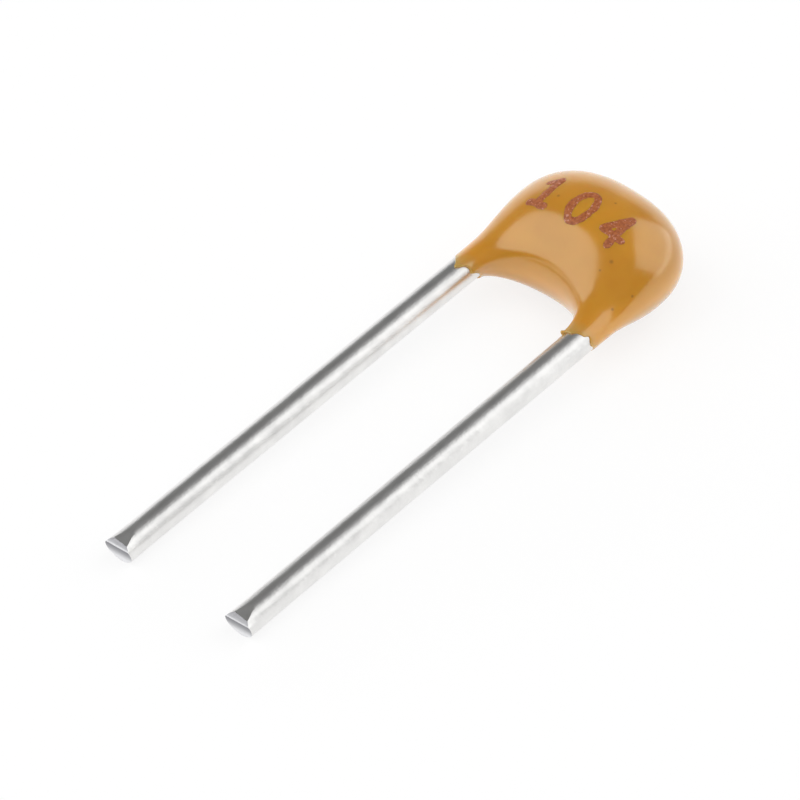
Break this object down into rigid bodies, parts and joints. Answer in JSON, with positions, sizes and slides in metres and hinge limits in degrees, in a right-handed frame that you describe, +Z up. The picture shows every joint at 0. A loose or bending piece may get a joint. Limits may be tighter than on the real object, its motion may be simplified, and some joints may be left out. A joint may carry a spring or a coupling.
{
  "type": "multilayer ceramic capacitor",
  "caption": "Dipped ceramic chip capacitor with a rounded golden epoxy body and straight round radial leads for through-hole boards.",
  "frame": {"origin": "middle of the part's outline, on the surface that the part lies on", "axes": "+Y from the lead tips towards the top of the body, +X from the left lead to the right lead, +Z up from the surface"},
  "size_m": [0.0032, 0.011, 0.0019],
  "materials": {
    "epoxy": "gloss",
    "tinned_wire": "satin",
    "ceramic": "matte",
    "cap_metal": "satin",
    "solder": "satin",
    "film_metal": "satin",
    "ink": "matte"
  },
  "bodies": {
    "root": {"coating": "epoxy", "lead_left": "tinned_wire", "lead_right": "tinned_wire", "ceramic_chip": "ceramic", "termination_left": "cap_metal", "termination_right": "cap_metal", "solder_left": "solder", "solder_right": "solder", "electrode_left_1": "film_metal", "electrode_left_2": "film_metal", "electrode_left_3": "film_metal", "electrode_left_4": "film_metal", "electrode_right_1": "film_metal", "electrode_right_2": "film_metal", "electrode_right_3": "film_metal", "electrode_right_4": "film_metal"}
  },
  "joints": []
}
